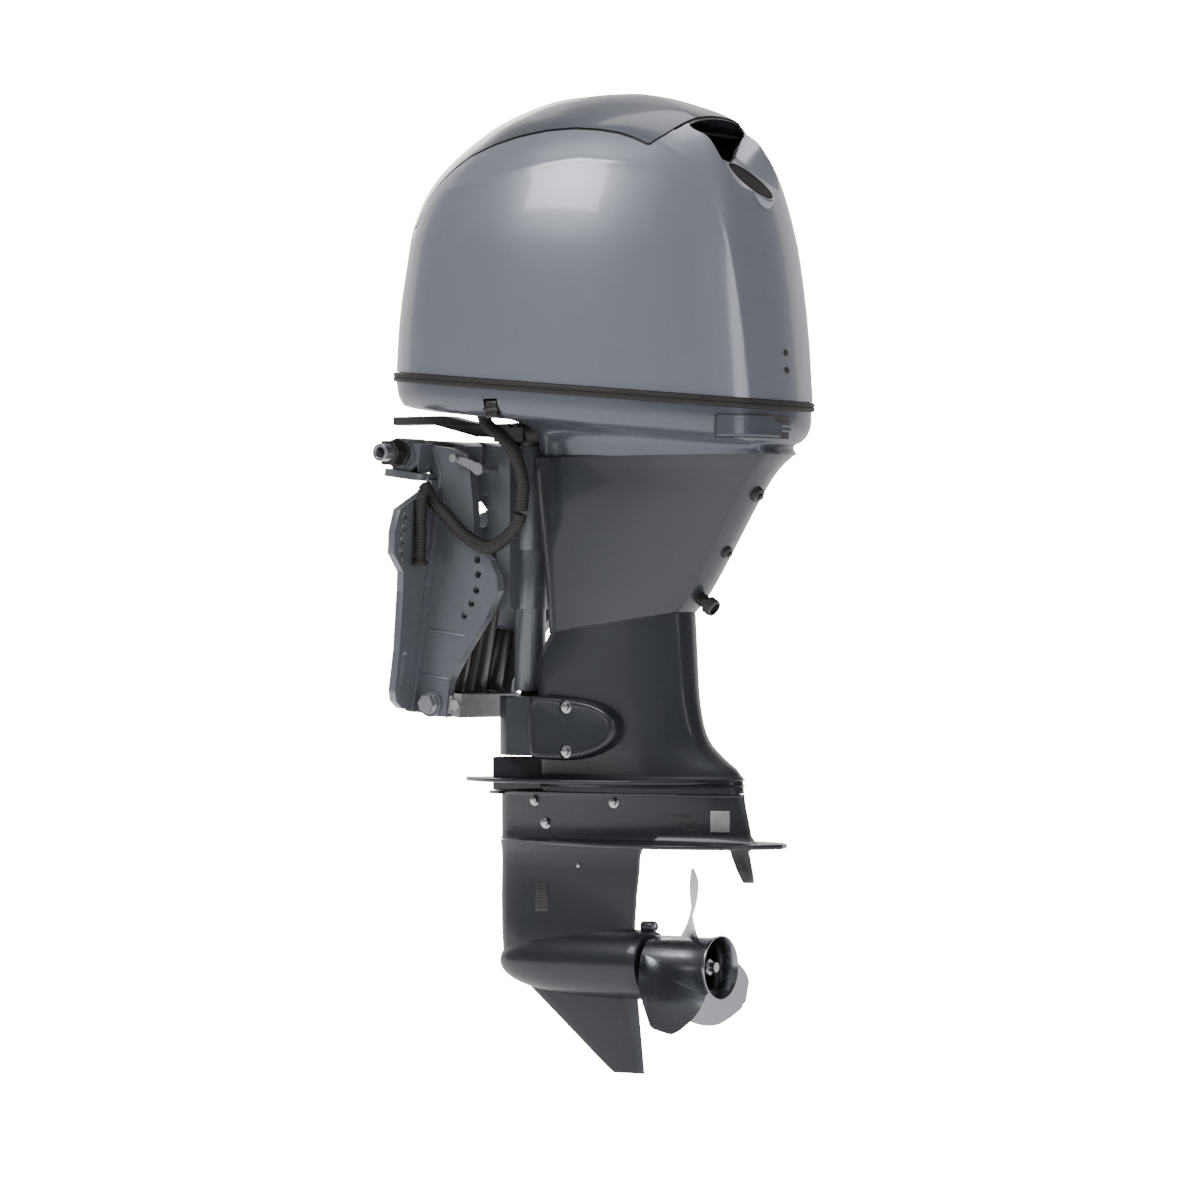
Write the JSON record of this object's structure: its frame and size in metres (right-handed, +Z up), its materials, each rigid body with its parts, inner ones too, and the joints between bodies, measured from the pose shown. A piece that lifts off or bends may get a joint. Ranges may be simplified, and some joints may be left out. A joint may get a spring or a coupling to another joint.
{
  "type": "outboard motor",
  "caption": "Four-stroke outboard motor for a boat: cowled engine on a long leg with a propeller, hung on a transom clamp, with tilt, steering and a lift-off cowl.",
  "frame": {"origin": "centre of the tilt tube, on the middle plane", "axes": "+X aft, towards the propeller; +Y to starboard, along the tilt tube; +Z up, with the drive shaft upright"},
  "size_m": [0.681, 0.388, 1.407],
  "materials": {
    "cowl_paint": "metallic blue-grey paint under clear coat",
    "cover_paint": "metallic blue-grey paint under clear coat, on plastic",
    "casting_paint": "cast aluminium, satin blue-grey paint",
    "bare_alloy": "as cast and machined",
    "steel": "machined stainless steel",
    "polished_steel": "polished cast stainless steel",
    "zinc": "sacrificial anode, dull as cast",
    "black_rubber": "matt black",
    "black_plastic": "moulded, satin black",
    "black_steel": "steel, black paint"
  },
  "bodies": {
    "clamp": {"clamp_bracket_port": "casting_paint", "clamp_bracket_starboard": "casting_paint", "tilt_tube": "steel", "tilt_tube_nuts": "steel", "trim_pivot_shaft": "steel", "bracket_anode": "zinc", "harness_lower": "black_rubber", "drain_hose": "black_rubber"},
    "trim_cylinder": {"trim_cylinder": "black_steel", "trim_motor": "black_steel"},
    "trim_rod": {"trim_rod": "steel", "trim_rod_pin": "steel"},
    "swivel": {"swivel_bracket": "casting_paint", "swivel_bushes": "black_plastic"},
    "support_lever": {"tilt_support_lever": "bare_alloy"},
    "engine": {"steering_bracket": "casting_paint", "lower_yoke": "casting_paint", "rubber_mounts": "black_rubber", "mount_cover_port": "casting_paint", "mount_cover_starboard": "casting_paint", "mount_cover_bolts": "steel", "upper_case": "casting_paint", "apron": "cover_paint", "apron_fittings": "black_plastic", "bottom_cowl": "cover_paint", "cowl_seal": "black_rubber", "exhaust_guide": "bare_alloy", "oil_pan": "bare_alloy", "cylinder_block": "bare_alloy", "crankcase": "bare_alloy", "cylinder_head": "bare_alloy", "head_cover": "black_plastic", "intake_manifold": "black_plastic", "starter_motor": "black_steel", "oil_filter": "black_steel", "control_unit": "black_plastic", "timing_belt": "black_rubber", "pistons": "bare_alloy", "water_pump": "black_plastic", "lower_case": "casting_paint", "lower_case_fittings": "steel", "bearing_carrier": "black_steel", "harness_upper": "black_rubber"},
    "crank": {"crankshaft": "steel", "flywheel": "steel", "drive_shaft": "steel"},
    "cam": {"cam_pulley": "steel"},
    "forward_gear": {"gear_set_forward": "steel"},
    "reverse_gear": {"gear_set_reverse": "steel"},
    "propeller": {"propeller_shaft": "steel", "propeller": "polished_steel"},
    "clutch": {"clutch_dog": "steel"},
    "top_cowl": {"top_cowl": "cover_paint", "top_cover": "cover_paint", "intake_duct": "black_plastic", "intake_badge": "black_plastic", "cowl_screws": "black_plastic"},
    "latch": {"cowl_latch_lever": "cover_paint"},
    "switch": {"tilt_switch": "black_plastic"},
    "trim_tab": {"trim_tab": "black_steel"}
  },
  "joints": [
    {"name": "tilt", "type": "hinge", "parent": "clamp", "child": "swivel", "pos_m": [0, 0, 0], "axis": [0, -1, 0], "range_deg": [0, 66], "deforming": ["harness_lower"]},
    {"name": "trim_swing", "type": "hinge", "parent": "clamp", "child": "trim_cylinder", "pos_m": [0.02968, 0, -0.36367], "axis": [0, 1, 0], "range_deg": [-0.5, 1.61]},
    {"name": "trim_stroke", "type": "slide", "parent": "trim_cylinder", "child": "trim_rod", "axis": [0.2059, 0, 0.9786], "range_m": [0, 0.14074]},
    {"name": "park_lever", "type": "hinge", "parent": "swivel", "child": "support_lever", "pos_m": [0.118, -0.06, -0.024], "axis": [0, -1, 0], "range_deg": [0, 80]},
    {"name": "steering", "type": "hinge", "parent": "swivel", "child": "engine", "pos_m": [0.1435, 0, -0.15], "axis": [0, 0, 1], "range_deg": [-40, 40], "deforming": ["harness_upper"]},
    {"name": "crank_spin", "type": "hinge", "parent": "engine", "child": "crank", "pos_m": [0.226, 0, 0.2], "axis": [0, 0, 1], "continuous": true},
    {"name": "cam_spin", "type": "hinge", "parent": "engine", "child": "cam", "pos_m": [0.454, 0, 0.39], "axis": [0, 0, 1], "continuous": true},
    {"name": "forward_gear_spin", "type": "hinge", "parent": "engine", "child": "forward_gear", "pos_m": [0.2, 0, -0.737], "axis": [1, 0, 0], "continuous": true},
    {"name": "reverse_gear_spin", "type": "hinge", "parent": "engine", "child": "reverse_gear", "pos_m": [0.25, 0, -0.737], "axis": [1, 0, 0], "continuous": true},
    {"name": "propeller_spin", "type": "hinge", "parent": "engine", "child": "propeller", "pos_m": [0.414, 0, -0.737], "axis": [1, 0, 0], "continuous": true},
    {"name": "clutch_shift", "type": "slide", "parent": "propeller", "child": "clutch", "axis": [1, 0, 0], "range_m": [-0.006, 0.006]},
    {"name": "cowl_lift", "type": "slide", "parent": "engine", "child": "top_cowl", "axis": [0, 0, 1], "range_m": [0, 0.4]},
    {"name": "cowl_latch", "type": "hinge", "parent": "engine", "child": "latch", "pos_m": [0.5892, 0, 0.029], "axis": [0, 0, 1], "range_deg": [0, 35]},
    {"name": "tilt_switch", "type": "hinge", "parent": "engine", "child": "switch", "pos_m": [0.203, -0.184, 0.057], "axis": [1, 0, 0], "range_deg": [-8, 8], "stiffness_Nm_per_rad": 0.2},
    {"name": "tab_turn", "type": "hinge", "parent": "engine", "child": "trim_tab", "pos_m": [0.506, 0, -0.5695], "axis": [0, 0, 1], "range_deg": [-15, 15]}
  ],
  "couplings": [
    {"joint": "trim_swing", "follows": "tilt", "ratio": 0.016761},
    {"joint": "trim_stroke", "follows": "tilt", "m_per_rad": 0.12175},
    {"joint": "cam_spin", "follows": "crank_spin", "ratio": 0.5},
    {"joint": "forward_gear_spin", "follows": "crank_spin", "ratio": 0.54167},
    {"joint": "reverse_gear_spin", "follows": "crank_spin", "ratio": -0.54167}
  ]
}
